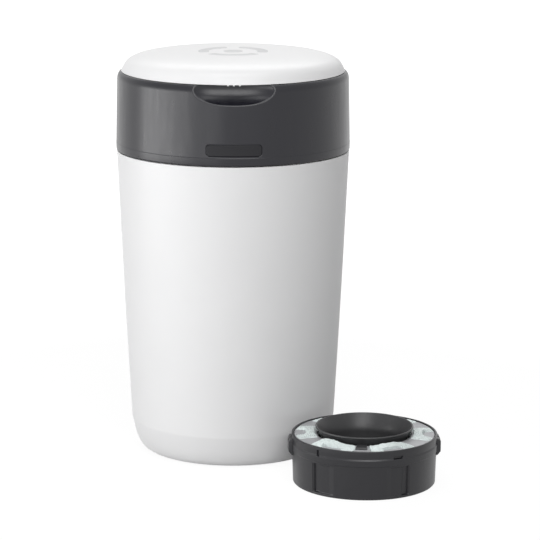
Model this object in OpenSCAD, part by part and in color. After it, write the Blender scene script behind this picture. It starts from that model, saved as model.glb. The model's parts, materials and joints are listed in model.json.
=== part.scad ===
// Nappy bin with a twist-and-seal film cassette, and one refill cassette beside it.
// Millimetres, +Z up, front of the bin towards -Y.
// The origin is the centre of the tub's foot on the floor.

/* [Tub] */
// Outer radius of the wall at its top
tub_top_r = 127.1; // [125:0.1:127.2]
// Height of the shoulder that the head stands over
tub_top_z = 335; // [330:0.5:335]
// Outer radius at the crease above the foot
crease_r = 112.4; // [110:0.1:115]
// Height of the crease
crease_z = 36.2; // [30:0.1:45]
// Radius where the foot meets the floor
foot_r = 93; // [90:0.5:97]
// Outward bow of the wall at half height
wall_bow = 0.5; // [0:0.1:1.5]
// Wall thickness
tub_wall = 2.4; // [2:0.1:3]

/* [Head] */
// Largest radius of the band, where its lower strip begins
band_r = 127.9; // [127.5:0.1:129]
// Height of the band's lower edge
band_z = 336; // [335.5:0.1:337]
// Height of the strip along the lower edge
lip_h = 8.8; // [7:0.1:9.4]
// How far that strip leans in
lip_inset = 0.2; // [0.1:0.05:0.6]
// Radius of the band where its shoulder starts
shoulder_r = 126.35; // [126:0.05:127]
// Radius of the seam under the lid
seam_r = 122; // [121.5:0.1:122.2]
// Height of the head's flat top
head_top = 421; // [421:0.1:421]
// Wall thickness of the head
head_wall = 2.5; // [2.2:0.1:2.6]

/* [Thumb recess] */
// Half width of the scoop along its axis
scoop_half_w = 49; // [44:0.5:52]
// Radius of the scoop at its middle
scoop_r = 17.5; // [15:0.1:18]
// Distance of the scoop's axis in front of the origin
scoop_y = 129; // [129:0.5:131]
// Height of the scoop's axis
scoop_z = 418; // [416:0.5:418.5]

/* [Name plate] */
// Width of the plate's seat
plate_w = 58.7; // [40:0.1:70]
// Height of the plate's seat
plate_h = 12.3; // [8:0.1:13.2]
// Height of its centre
plate_z = 352.9; // [352.3:0.1:370]

/* [Lid] */
// Rise of the dome above its lower edge
dome_h = 20.6; // [18:0.1:24]
// Height at which the dome's side turns over
dome_side_h = 11.6; // [9:0.1:13]
// How far the side leans in by then
dome_lean = 6; // [4:0.5:8]
// Thickness of the cover
lid_wall = 2.2; // [1.8:0.1:2.6]
// Gap between the lid and the head
lid_gap = 0.4; // [0.3:0.05:0.6]
// Outer radius of the mark at the centre
mark_r = 38; // [20:1:50]

/* [Hinge] */
// Distance of the hinge axis behind the origin
hinge_y = 125; // [125:0.1:125.5]
// Radius of the knuckles
knuckle_r = 3.4; // [3:0.1:3.4]
// Radius of the steel pin
pin_r = 1.5; // [1.2:0.1:1.6]

/* [Twist ring] */
// Inner radius of the cup that holds the cassette
cup_r = 82.2; // [82:0.1:82.6]
// Number of ratchet teeth
teeth = 24; // [12:1:36]
// Height of the two finger grips above the flange
grip_h = 12.5; // [8:0.5:18]

/* [Cassette] */
// Outer radius at the base
cas_base_r = 75.9; // [74:0.1:76]
// Outer radius of the belt below the rim
cas_belt_r = 78.2; // [78:0.1:78.4]
// Outer radius of the rim
cas_rim_r = 77.6; // [77:0.1:78]
// Height of the rim
cas_h = 52.9; // [50:0.1:54]
// Height of the funnel's lip
funnel_h = 61; // [59:0.5:63]
// Radius of the funnel's lip
funnel_lip_r = 52.2; // [51:0.1:53]
// Radius of the throat
throat_r = 43; // [42:0.1:43]
// How far the side lugs stand out from the centre
lug_r = 81.6; // [80:0.1:81.8]
// Width of a side lug
lug_w = 24; // [12:1:30]

/* [Refill place] */
// Distance of the refill to the right of the bin's centre
refill_x = 138.9; // [130:0.1:240]
// Distance of the refill in front of the bin's centre
refill_y = 146; // [146:0.1:240]

/* [Hidden] */
$fn = 96;

white = "#f4f4f4";
charcoal = "#4b4b4f";
dark = "#37383b";
grey = "#97999e";
film = "#d6e2e1";
steel = "#b9bcc0";

// Tub
base_z = 1.2;
base_recess_z = 4;
base_recess_r = 77;
floor_z = 6.4;
neck_r = 121.5;
neck_wall = 2.5;
neck_top_z = 350;
pad_r = 5;
pad_h = 3.2;
pad_ring_r = 86;
pad_count = 4;

// Head
shoulder_h = 8.5;
ledge_t = 2.5;
ledge_r = 107.7;
rib_count = 12;
rib_t = 2;
rib_r = 121.9;
rib_top_z = 364;
rest_gap = 0.1;
rest_r = 118.5;
scoop_power = 2.5;
plate_seat_r = 126.3;
plate_t = 1.2;
plate_corner = 3.2;
plate_gap = 0.3;

// Bay
bay_r = 105;
bay_wall = 2.5;
deck_z = 395.7;
deck_t = 2.7;
bay_cup_r = 87;
bay_cup_wall = 2.4;
bay_floor_z = 335.5;
bay_floor_t = 2.5;
bay_hole_r = 60;
flange_top_z = 413.5;
flange_r = 116;
bay_screw_ring_r = 112;
bay_screw_angles = [0, 45, 135, 180, 225, 315];
bezel_z = 400;
bezel_t = 2.5;
bezel_in_r = 92;
bezel_out_r = 104.7;
bezel_boss_ring_r = 101.2;
bezel_boss_r = 3;
bezel_angles = [45, 135, 225, 315];
leaf_r = 98.8;
leaf_t = 0.7;
spring_h = 3.2;
gusset_count = 8;
gusset_h = 12;

// Twist ring
ring_z = 396;
ring_t = 2.5;
tooth_tip_r = 96.8;
tooth_root_r = 95;
cup_wall = 2.5;
cup_floor_z = 341.5;
cup_floor_t = 3;
cup_hole_r = 70;
grip_in_r = 85.4;
grip_out_r = 91.4;
grip_span = 50;
loaded_z = cup_floor_z + cup_floor_t;

// Petals
petal_r = 74;
petal_t = 2;
petal_hole_r = 22;
petal_slits = 8;
retainer_in_r = 62;
retainer_t = 2.5;

// Cassette
cas_wall = 2.4;
core_r = 45.3;
core_wall = 1.7;
core_h = 44;
belt_z = 36.5;
belt_top_z = 43.6;
lug_z = 30.5;
lug_top_z = 48.4;
lug_slope = 5.5;
cover_z = 50.3;
cover_t = 1.6;
cover_in_r = 50.5;
cover_out_r = 74.6;
window_in_r = 55;
window_out_r = 71.5;
window_span = 41;
window_angles = [22.5, 84.5, 145, 207, 267.5, 327.5];
notch_angles = [102, 129, 217, 249];
flute_angles = [-38, 24.8, 142, 204.8];
flute_w = 27.4;
flute_depth = 1.5;
film_t = 0.4;
pouch_r = 30;
pouch_drop = 44;

// Lid
lid_z = head_top + lid_gap;
liner_r = 117.9;
lid_knuckle_w = 29.6;
knuckle_w = 10.6;
lip_rib_pitch = 6.2;
liner_z = lid_z + 0.2;
liner_t = 2;
seal_in_r = 104.4;
seal_out_r = 109.2;
mark_t = 0.6;
crown_r = mark_r + 8;

// ---------- shared shapes ----------

// A ring between two radii and two heights
module ring(r_in, r_out, z0, z1) {
    difference() {
        translate([0, 0, z0]) cylinder(r = r_out, h = z1 - z0);
        translate([0, 0, z0 - 1]) cylinder(r = r_in, h = z1 - z0 + 2);
    }
}

// A rod between two heights at a given radius and angle from +X
module rod_at(ring_radius, angle, r, z0, z1) {
    rotate([0, 0, angle]) translate([ring_radius, 0, z0]) cylinder(r = r, h = z1 - z0, $fn = 32);
}

// A flat sector of a ring, centred on an angle counted from +X
module sector(r_in, r_out, angle, span) {
    difference() {
        circle(r = r_out);
        circle(r = r_in);
        polygon(concat([[0, 0]], [for (i = [0:12])
            let (a = angle + span / 2 + (360 - span) * i / 12) 2 * r_out * [cos(a), sin(a)]]));
    }
}

// A flat rectangle with round corners
module round_rect(w, h, r) {
    square([w - 2 * r, h], center = true);
    square([w, h - 2 * r], center = true);
    for (x = [-1, 1], y = [-1, 1])
        translate([x * (w / 2 - r), y * (h / 2 - r)]) circle(r = r, $fn = 32);
}

function bezier(p0, p1, p2, p3, t) =
    pow(1 - t, 3) * p0 + 3 * pow(1 - t, 2) * t * p1 + 3 * (1 - t) * t * t * p2 + t * t * t * p3;

// Points of a quarter superellipse, from the radius up to the top
function super_quarter(r, h, z0, power, steps) = [
    for (i = [0:steps])
        let (a = 90 * i / steps, s = pow(pow(cos(a), power) + pow(sin(a), power), -1 / power))
        [r * s * cos(a), z0 + h * s * sin(a)]
];

function reversed(list) = [for (i = [len(list) - 1:-1:0]) list[i]];

// ---------- tub ----------

function wall_r(z) =
    let (t = (z - crease_z) / (tub_top_z - crease_z))
    crease_r + (tub_top_r - crease_r) * t + 4 * wall_bow * t * (1 - t);

// The rounded foot, from its rim up to the crease
function foot_curve(r_foot, z_foot, r_crease) = [
    for (i = [0:10]) bezier([r_foot, z_foot], [r_foot + 11.5, z_foot], [r_crease - 4.2, crease_z - 21],
        [r_crease, crease_z], i / 10)
];

wall_heights = [for (i = [1:8]) crease_z + (tub_top_z - crease_z) * i / 8];

module tub_shell() {
    outer = concat(foot_curve(foot_r, base_z, crease_r), [for (z = wall_heights) [wall_r(z), z]]);
    inner = concat(foot_curve(foot_r - 1, floor_z, crease_r - tub_wall),
        [for (z = wall_heights) [wall_r(z) - tub_wall, min(z, tub_top_z - 6)]]);
    color(white) difference() {
        rotate_extrude() polygon(concat(
            [[0, base_recess_z], [base_recess_r, base_recess_z], [base_recess_r + 3, base_z]],
            outer,
            [[neck_r, tub_top_z], [neck_r, neck_top_z - 1], [neck_r - 0.8, neck_top_z],
             [neck_r - neck_wall, neck_top_z], [neck_r - neck_wall, tub_top_z - 2]],
            reversed(inner),
            [[0, floor_z]]));
        for (i = [0:pad_count - 1])
            rod_at(pad_ring_r, 45 + 360 * i / pad_count, pad_r + 0.05, 0, pad_h);
    }
}

module rubber_feet() {
    color(dark) for (i = [0:pad_count - 1])
        rod_at(pad_ring_r, 45 + 360 * i / pad_count, pad_r, 0, pad_h);
}

// ---------- head ----------

// The band's outline from its lower edge to the lid's seam
function band_outline() = concat(
    [[band_r - lip_inset - 0.9, band_z], [band_r - lip_inset, band_z + 0.9], [band_r, band_z + lip_h]],
    [for (i = [0:8]) [seam_r - 0.2 + (shoulder_r - seam_r + 0.2) * cos(90 * i / 8),
        head_top - shoulder_h + shoulder_h * sin(90 * i / 8)]]);

module band_solid() {
    rotate_extrude() polygon(concat([[0, band_z]], band_outline(), [[0, head_top]]));
}

// A spindle along X that hollows out the thumb recess
module scoop(extra) {
    points = super_quarter(scoop_r + extra, scoop_half_w + extra, 0, scoop_power, 9);
    mirrored = [for (p = reversed(points)) [p[0], -p[1]]];
    translate([0, -scoop_y, scoop_z]) rotate([0, 90, 0])
        rotate_extrude() polygon(concat([for (i = [0:len(mirrored) - 2]) mirrored[i]], points));
}

// A rod along X on the hinge axis
module hinge_rod(x0, x1, r) {
    translate([x0, hinge_y, head_top]) rotate([0, 90, 0]) cylinder(r = r, h = x1 - x0, $fn = 48);
}

module hinge_bore() {
    hinge_rod(-30, 30, pin_r + 0.05);
}

module head_skin() {
    inner_r = shoulder_r - head_wall + 0.5;
    rotate_extrude() polygon(concat(
        band_outline(),
        [[ledge_r, head_top], [ledge_r, head_top - ledge_t], [inner_r - 5, head_top - ledge_t],
         [inner_r - 1, head_top - 5.5], [inner_r, head_top - 9], [inner_r + 0.2, band_z + 10],
         [inner_r - 1.2, band_z + 7], [inner_r - 1.2, band_z]]));
}

// Ribs that guide the head over the tub's neck and rest on it
module neck_ribs() {
    for (i = [0:rib_count - 1]) rotate([0, 0, 360 * (i + 0.5) / rib_count]) {
        translate([rib_r, -rib_t / 2, band_z + 2]) cube([4.4, rib_t, rib_top_z - band_z - 2]);
        translate([rest_r, -rib_t / 2, neck_top_z + rest_gap])
            cube([126.3 - rest_r, rib_t, rib_top_z - neck_top_z - rest_gap]);
    }
}

module head_shell() {
    color(charcoal) difference() {
        union() {
            head_skin();
            neck_ribs();
            intersection() {
                band_solid();
                union() {
                    scoop(head_wall);
                    hinge_rod(-28, 28, 6.5);
                }
            }
            for (a = bay_screw_angles)
                rod_at(bay_screw_ring_r, a, 3.2, flange_top_z, head_top - 1);
            for (x = [-lid_knuckle_w / 2 - 0.6 - knuckle_w, lid_knuckle_w / 2 + 0.6]) {
                hinge_rod(x, x + knuckle_w, knuckle_r);
                knuckle_foot(x);
            }
        }
        scoop(0);
        hinge_rod(-lid_knuckle_w / 2 - 0.4, lid_knuckle_w / 2 + 0.4, knuckle_r + 0.4);
        hinge_bore();
        plate_block(plate_seat_r + 5, 0);
        for (a = bay_screw_angles)
            rod_at(bay_screw_ring_r, a, 1.3, flange_top_z - 1, head_top - 1.2);
    }
}

// The foot that carries a knuckle of the head, tapered into the band
module knuckle_foot(x) {
    back = hinge_y + knuckle_r - 0.3;
    intersection() {
        translate([x, 0, 0]) rotate([90, 0, 90]) linear_extrude(knuckle_w) polygon([
            [hinge_y - knuckle_r, head_top - 10], [shoulder_r - 0.8, head_top - 10],
            [back, head_top - 3], [back, head_top], [hinge_y - knuckle_r, head_top]]);
        cylinder(r = band_r + 0.6, h = head_top);
    }
}

// A curved block with round corners, from the seat's radius outwards
module plate_block(r_out, gap) {
    intersection() {
        ring(plate_seat_r, r_out, plate_z - plate_h, plate_z + plate_h);
        translate([0, -plate_seat_r + 10, plate_z]) rotate([90, 0, 0])
            linear_extrude(20) round_rect(plate_w - gap, plate_h - gap, plate_corner);
    }
}

module name_plate() {
    color(dark) plate_block(plate_seat_r + plate_t, plate_gap);
}

module cassette_bay() {
    color(dark) difference() {
        union() {
            rotate_extrude() polygon([
                [bay_hole_r, bay_floor_z - bay_floor_t],
                [bay_cup_r + bay_cup_wall, bay_floor_z - bay_floor_t],
                [bay_cup_r + bay_cup_wall, deck_z - deck_t],
                [bay_r + bay_wall, deck_z - deck_t],
                [bay_r + bay_wall, flange_top_z - 2.5],
                [flange_r, flange_top_z - 2.5],
                [flange_r, flange_top_z],
                [bay_r + bay_wall, flange_top_z],
                [bay_r + bay_wall, head_top],
                [bay_r, head_top],
                [bay_r, deck_z],
                [bay_cup_r, deck_z],
                [bay_cup_r, bay_floor_z],
                [bay_hole_r, bay_floor_z]
            ]);
            for (a = bezel_angles) rod_at(bezel_boss_ring_r, a, bezel_boss_r, deck_z - 1, bezel_z);
            for (i = [0:gusset_count - 1]) rotate([90, 0, 360 * (i + 0.5) / gusset_count])
                translate([0, 0, -0.8]) linear_extrude(1.6) polygon([
                    [bay_cup_r + 1, deck_z - deck_t + 1], [bay_r + 1, deck_z - deck_t + 1],
                    [bay_r + 1, deck_z - deck_t - 1], [bay_cup_r + 1, deck_z - deck_t - gusset_h]]);
            spring_post();
        }
        scoop(head_wall + 0.3);
        for (a = bezel_angles) rod_at(bezel_boss_ring_r, a, 1.2, deck_z - 1.5, bezel_z + 1);
        for (a = bay_screw_angles) rod_at(bay_screw_ring_r, a, 1.6, flange_top_z - 4, flange_top_z + 1);
    }
}

// The slotted post that holds the click spring's end
module spring_post() {
    difference() {
        translate([0, 0, deck_z - 1]) linear_extrude(spring_h + 1.3) sector(97.4, bay_r + 1, -5, 5);
        ring(leaf_r - 0.05, leaf_r + leaf_t + 0.05, deck_z, bezel_z);
    }
}

module screws(ring_radius, angles, head_r, head_z0, head_z1, shank_r, shank_z) {
    for (a = angles) {
        rod_at(ring_radius, a, head_r, head_z0, head_z1);
        rod_at(ring_radius, a, shank_r, min(shank_z, head_z0), max(shank_z, head_z1));
    }
}

module bay_screws() {
    color(steel) screws(bay_screw_ring_r, bay_screw_angles, 2.8, flange_top_z - 4.4, flange_top_z - 2.5,
        1.25, head_top - 1.4);
}

module bezel_ring() {
    color(charcoal) difference() {
        rotate_extrude() polygon([
            [bezel_in_r, bezel_z], [bezel_out_r, bezel_z], [bezel_out_r, bezel_z + bezel_t - 0.5],
            [bezel_out_r - 0.5, bezel_z + bezel_t], [bezel_in_r + 1.6, bezel_z + bezel_t],
            [bezel_in_r, bezel_z + 1]]);
        for (a = bezel_angles) rod_at(bezel_boss_ring_r, a, 1.4, bezel_z - 1, bezel_z + bezel_t + 1);
    }
}

module bezel_screws() {
    color(steel) screws(bezel_boss_ring_r, bezel_angles, 2.5, bezel_z + bezel_t,
        bezel_z + bezel_t + 1.5, 1.15, deck_z - 1.2);
}

// A leaf whose nose rides over the ratchet teeth
module click_spring() {
    color(steel) translate([0, 0, deck_z]) linear_extrude(spring_h) {
        sector(leaf_r, leaf_r + leaf_t, 4, 23);
        sector(tooth_tip_r + 0.4, leaf_r + leaf_t, 15, 1.6);
    }
}

module grip_fingers() {
    color(dark) difference() {
        ring(petal_hole_r, petal_r, bay_floor_z, bay_floor_z + petal_t);
        for (i = [0:petal_slits - 1]) rotate([0, 0, 360 * i / petal_slits])
            translate([petal_hole_r - 2, -0.4, bay_floor_z - 1]) cube([34, 0.8, petal_t + 2]);
    }
}

module grip_retainer() {
    color(charcoal) ring(retainer_in_r, petal_r, bay_floor_z + petal_t, bay_floor_z + petal_t + retainer_t);
}

module cutter_guard() {
    top = bay_floor_z - bay_floor_t;
    color(charcoal) difference() {
        translate([62, -17, top - 12]) cube([24, 34, 12]);
        translate([61, -1.5, top - 13]) cube([18, 3, 10]);
        cutter_blade_seat(top);
    }
}

module cutter_blade_seat(top) {
    translate([65, -8, top - 6]) cube([16, 16, 0.6]);
}

module cutter_blade() {
    color(steel) cutter_blade_seat(bay_floor_z - bay_floor_t);
}

module hinge_pin() {
    color(steel) union() {
        hinge_rod(-27, 27, pin_r);
        hinge_rod(-27.8, -26.4, 2.4);
        hinge_rod(26.4, 27.8, 2.4);
    }
}

// ---------- lid ----------

// The dome's outline, flat where it carries the mark
function dome_outline(inset) =
    let (edge = seam_r - inset, top = lid_z + dome_h - inset, side = lid_z + dome_side_h - inset / 2)
    concat([for (i = [0:14])
        bezier([edge, lid_z], [edge - dome_lean, side], [edge - 3.5, top], [crown_r, top], i / 14)],
        [[0, top]]);

module dome() {
    rotate_extrude() polygon(concat(dome_outline(0), reversed(dome_outline(lid_wall))));
}

// Three arcs round a dot, laid flat in the crown
module mark_shape() {
    for (a = [90, 210, 330]) sector(mark_r * 0.7, mark_r, a, 96);
    circle(r = mark_r * 0.28);
}

module lid_cover() {
    color(white) difference() {
        union() {
            dome();
            hinge_rod(-lid_knuckle_w / 2, lid_knuckle_w / 2, knuckle_r);
            translate([-lid_knuckle_w / 2, seam_r - 2.1, lid_z])
                cube([lid_knuckle_w, hinge_y - seam_r + 2.1, knuckle_r - lid_gap - 0.6]);
            for (x = [-1, 0, 1] * lip_rib_pitch)
                translate([x - 1, -seam_r + 0.6, lid_z - 1.1]) cube([2, 1.5, 1.9]);
        }
        for (x = [-lid_knuckle_w / 2 - knuckle_w - 1.2, lid_knuckle_w / 2 + 0.2])
            hinge_rod(x, x + knuckle_w + 1, knuckle_r + 0.4);
        hinge_bore();
        translate([0, 0, lid_z + dome_h - mark_t]) linear_extrude(5) mark_shape();
    }
}

module lid_liner() {
    color(white) rotate_extrude() polygon([
        [0, liner_z + 1.2], [92, liner_z + 1.2], [94, liner_z], [seal_in_r, liner_z],
        [seal_in_r, liner_z + 1.4], [seal_out_r, liner_z + 1.4], [seal_out_r, liner_z],
        [liner_r + 1.5, liner_z], [liner_r, liner_z + liner_t + 1.2], [92, liner_z + liner_t + 1.2],
        [90, liner_z + 3.2], [0, liner_z + 3.2]]);
}

module lid_seal() {
    color(dark) rotate_extrude() polygon([
        [seal_in_r, liner_z + 1.4], [seal_in_r, liner_z], [seal_in_r + 1.6, head_top + 0.3],
        [seal_out_r - 1.6, head_top + 0.3], [seal_out_r, liner_z], [seal_out_r, liner_z + 1.4]]);
}

module lid_mark() {
    color("#d9dadb") translate([0, 0, lid_z + dome_h - mark_t]) linear_extrude(mark_t - 0.02) mark_shape();
}

// ---------- twist ring ----------

module ratchet_flange() {
    translate([0, 0, ring_z]) linear_extrude(ring_t) difference() {
        polygon([for (i = [0:teeth - 1], half = [0, 1])
            let (a = 360 * (i + 0.82 * half) / teeth, r = half == 0 ? tooth_root_r : tooth_tip_r)
            r * [cos(a), sin(a)]]);
        circle(r = cup_r);
    }
}

// A finger grip on the ring, centred on an angle from +X
module finger_grip(angle) {
    top = ring_z + ring_t + grip_h;
    rotate([0, 0, angle - grip_span / 2]) rotate_extrude(angle = grip_span) polygon([
        [grip_in_r, ring_z + ring_t - 1], [grip_out_r, ring_z + ring_t - 1], [grip_out_r, top - 1.5],
        [grip_out_r - 1.2, top], [grip_in_r + 1.6, top], [grip_in_r + 0.5, top - 1.5]]);
}

module twist_ring() {
    color(white) union() {
        ratchet_flange();
        rotate_extrude() polygon([
            [cup_hole_r, cup_floor_z], [cup_r + cup_wall, cup_floor_z],
            [cup_r + cup_wall, ring_z + ring_t - 1], [cup_r + cup_wall - 0.6, ring_z + ring_t + 0.6],
            [cup_r + 0.4, ring_z + ring_t + 0.6], [cup_r, ring_z + ring_t], [cup_r, loaded_z],
            [cup_hole_r, loaded_z]]);
        for (side = [0, 180], edge = [-1, 1]) rotate([0, 0, side])
            translate([79.2, edge * (lug_w / 2 + 1.6) - 1, loaded_z + belt_z - 4]) cube([4, 2, 16]);
        finger_grip(90);
        finger_grip(270);
    }
}

// ---------- cassette ----------

// A slot or notch cut near the rim, at an angle counted from the front towards +X
module rim_cut(angle, w, z0, z1, r_in) {
    rotate([0, 0, angle - 90]) translate([r_in, -w / 2, z0]) cube([20, w, z1 - z0]);
}

module housing() {
    groove_z = cas_h - 3;
    difference() {
        union() {
            rotate_extrude() polygon([
                [core_r, 0], [cas_base_r - 1, 0], [cas_base_r, 1], [cas_base_r + 1, belt_z - 0.6],
                [cas_belt_r - 0.3, belt_z], [cas_belt_r, belt_top_z - 0.8],
                [cas_rim_r - 0.3, belt_top_z + 0.8],
                [cas_rim_r, groove_z - 1], [cas_rim_r, cas_h - 0.6], [cas_rim_r - 0.6, cas_h],
                [cas_rim_r - 2, cas_h], [cas_rim_r - 2.4, cas_h - 2], [cas_base_r + 1 - cas_wall, belt_z],
                [cas_base_r - cas_wall, 2], [core_r + core_wall, 2], [core_r + core_wall, core_h],
                [core_r, core_h]]);
            for (side = [0, 180]) rotate([0, 0, side]) side_lug();
        }
        for (a = flute_angles) rotate([0, 0, a - 90])
            translate([cas_base_r - flute_depth, -flute_w / 2, 3]) cube([10, flute_w, belt_z - 5.5]);
        for (a = [-41.6, 138.4]) rim_cut(a, 2.6, cas_h - 9.6, cas_h - 3.3, cas_rim_r - 1.2);
        for (a = [24, 204]) rim_cut(a, 10.5, cas_h - 9.1, cas_h - 6.6, cas_rim_r - 1.2);
        for (side = [-1, 1]) translate([side * 80, 0, cas_h - 6]) cube([1.6, 5, 12], center = true);
    }
}

// A lug that the ring drives, with a sloped top and foot
module side_lug() {
    intersection() {
        cylinder(r = lug_r, h = cas_h);
        rotate([90, 0, 0]) linear_extrude(lug_w, center = true) polygon([
            [cas_base_r - 0.3, lug_z], [77.4, lug_z], [lug_r + 0.2, lug_z + lug_slope],
            [lug_r + 0.2, lug_top_z - 4.4],
            [79.4, lug_top_z], [cas_base_r - 0.3, lug_top_z]]);
    }
}

// The sleeve that the film is drawn down through, with a rolled lip
module funnel() {
    wall = 1.9;
    rotate_extrude() polygon(concat(
        [[throat_r, 0.4], [throat_r + wall, 0.4]],
        [for (i = [0:6]) bezier([throat_r + wall, 43], [throat_r + wall, 48.5],
            [funnel_lip_r - 4, funnel_h - 7.5], [funnel_lip_r - 0.9, funnel_h - 2.4], i / 6)],
        [[funnel_lip_r, funnel_h - 1.3], [funnel_lip_r - 0.2, funnel_h - 0.3],
         [funnel_lip_r - 0.8, funnel_h]],
        [for (i = [0:6]) bezier([funnel_lip_r - 1.6, funnel_h - 0.4], [funnel_lip_r - 5.4, funnel_h - 7.5],
            [throat_r, 47.5], [throat_r, 41], i / 6)]));
}

// The locking tab between the funnel and the cover, at the front
module funnel_tab() {
    translate([0, 0, cover_z + cover_t]) linear_extrude(1.2) sector(47, 66, 264, 11);
}

module cover() {
    difference() {
        ring(cover_in_r, cover_out_r, cover_z, cover_z + cover_t);
        for (a = window_angles) translate([0, 0, cover_z - 1]) linear_extrude(cover_t + 2)
            sector(window_in_r, window_out_r, a - 90, window_span);
        for (a = notch_angles) rim_cut(a, 5, cover_z - 1, cover_z + cover_t + 1, cover_out_r - 2);
    }
}

// The pleated film packed in the chamber, swelling a little into the windows
module film_pack() {
    ring(core_r + core_wall + 0.4, cas_base_r - cas_wall - 0.9, 2, core_h - 1);
    ring(core_r + core_wall + 2.2, cover_out_r - 2, core_h - 1.5, cover_z);
    for (a = window_angles) translate([0, 0, cover_z - 1]) linear_extrude(cover_t + 1.2)
        sector(window_in_r + 0.4, window_out_r - 0.4, a - 90, window_span - 1);
}

// The film drawn over the funnel's lip, down the throat and through the petals to its knot
module film_sleeve() {
    path = [
        [core_r + core_wall + 2.4, core_h - 1.2], [core_r + core_wall + 2.4, cover_z + 1],
        [funnel_lip_r + 0.6, funnel_h - 1.6], [funnel_lip_r + 0.1, funnel_h + 0.4],
        [funnel_lip_r - 1.4, funnel_h + 0.5], [throat_r + 3, 53.4], [throat_r + 0.4, 46.8],
        [throat_r - 0.5, 42],
        [throat_r - 0.5, -1], [petal_hole_r - 2, -6.2], [petal_hole_r - 2, -10.5], [pouch_r, -20],
        [pouch_r - 2, -30], [8, -pouch_drop + 3], [3, -pouch_drop]
    ];
    // The other face of the film, on its free side
    inner = [for (i = [0:len(path) - 1])
        let (a = path[max(i - 1, 0)], b = path[min(i + 1, len(path) - 1)], d = b - a)
        path[i] + film_t * [d[1], -d[0]] / norm(d)];
    rotate_extrude() polygon(concat(path, [[0, -pouch_drop]], [[0, -pouch_drop + 3]], reversed(inner)));
}

module loaded() {
    translate([0, 0, loaded_z]) children();
}

module beside() {
    translate([refill_x, -refill_y, 0]) children();
}

module cassette_housing() {
    color(charcoal) loaded() housing();
}

module cassette_funnel() {
    color(dark) loaded() union() {
        funnel();
        funnel_tab();
    }
}

module cassette_cover() {
    color(grey) loaded() cover();
}

module cassette_film() {
    color(film) loaded() union() {
        film_pack();
        film_sleeve();
    }
}

module refill_housing() {
    color(charcoal) beside() housing();
}

module refill_funnel() {
    color(dark) beside() union() {
        funnel();
        funnel_tab();
    }
}

module refill_cover() {
    color(grey) beside() cover();
}

module refill_film() {
    color(film) beside() film_pack();
}

tub_shell();
rubber_feet();
head_shell();
name_plate();
cassette_bay();
bay_screws();
bezel_ring();
bezel_screws();
click_spring();
grip_fingers();
grip_retainer();
cutter_guard();
cutter_blade();
hinge_pin();
lid_cover();
lid_liner();
lid_seal();
lid_mark();
twist_ring();
cassette_housing();
cassette_funnel();
cassette_cover();
cassette_film();
refill_housing();
refill_funnel();
refill_cover();
refill_film();
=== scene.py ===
"""Looks of a nappy bin with a twist-and-seal cassette and a spare cassette, around its CAD frame.

Outlines are drawn in millimetres, as (radius, height), and become metres when a mesh is made.
Angles are in degrees, counted from the front (-Y) towards +X.
"""

import json
import math

import bmesh
import bpy
import numpy as np
from mathutils import Matrix, Vector, noise

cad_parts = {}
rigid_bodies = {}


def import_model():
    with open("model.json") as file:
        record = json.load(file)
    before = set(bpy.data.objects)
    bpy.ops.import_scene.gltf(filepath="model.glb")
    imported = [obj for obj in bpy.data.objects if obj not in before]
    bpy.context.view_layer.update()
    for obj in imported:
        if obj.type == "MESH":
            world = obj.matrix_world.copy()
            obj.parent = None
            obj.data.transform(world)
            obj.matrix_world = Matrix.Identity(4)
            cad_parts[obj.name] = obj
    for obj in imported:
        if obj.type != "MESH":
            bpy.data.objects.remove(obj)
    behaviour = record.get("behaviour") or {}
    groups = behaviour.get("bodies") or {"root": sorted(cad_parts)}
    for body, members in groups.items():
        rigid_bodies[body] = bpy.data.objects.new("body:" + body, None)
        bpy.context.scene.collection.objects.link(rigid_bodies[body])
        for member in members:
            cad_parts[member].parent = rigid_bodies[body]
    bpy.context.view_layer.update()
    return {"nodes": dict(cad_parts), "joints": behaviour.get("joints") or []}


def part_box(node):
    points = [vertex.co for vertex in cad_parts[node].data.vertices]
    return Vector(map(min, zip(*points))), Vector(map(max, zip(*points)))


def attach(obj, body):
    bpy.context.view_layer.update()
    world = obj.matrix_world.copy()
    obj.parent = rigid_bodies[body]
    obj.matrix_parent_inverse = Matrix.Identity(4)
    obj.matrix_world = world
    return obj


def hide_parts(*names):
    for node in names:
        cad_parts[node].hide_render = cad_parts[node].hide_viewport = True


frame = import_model()

MM = 0.001
SEED_OFFSET = Vector((11.3, 4.7, 8.1))


def node_box(node):
    """A CAD node's lowest and highest corners, in millimetres to one decimal place."""
    return [[round(v / MM, 1) for v in corner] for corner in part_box(node)]


def joint_place(name):
    """The place of one of the frame's joints, in millimetres."""
    joint = next(j for j in frame["joints"] if j["name"] == name)
    return [round(v / MM, 1) for v in joint["pos_m"]]


# ---------- sizes shared by several pieces, in millimetres ----------

# Tub
(_, _, FOOT_Z), (TUB_TOP_R, _, NECK_TOP) = node_box("tub_shell")
TUB_TOP_Z = 335
CREASE_R, CREASE_Z = 112.4, 36.2
FOOT_R = 93
WALL_BOW = 0.5
TUB_WALL = 2.4
TUB_FLOOR_Z = 6.4
NECK_R, NECK_IN_R = 121.5, 119
UNDERSIDE_R, UNDERSIDE_Z = 77, 4

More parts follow.
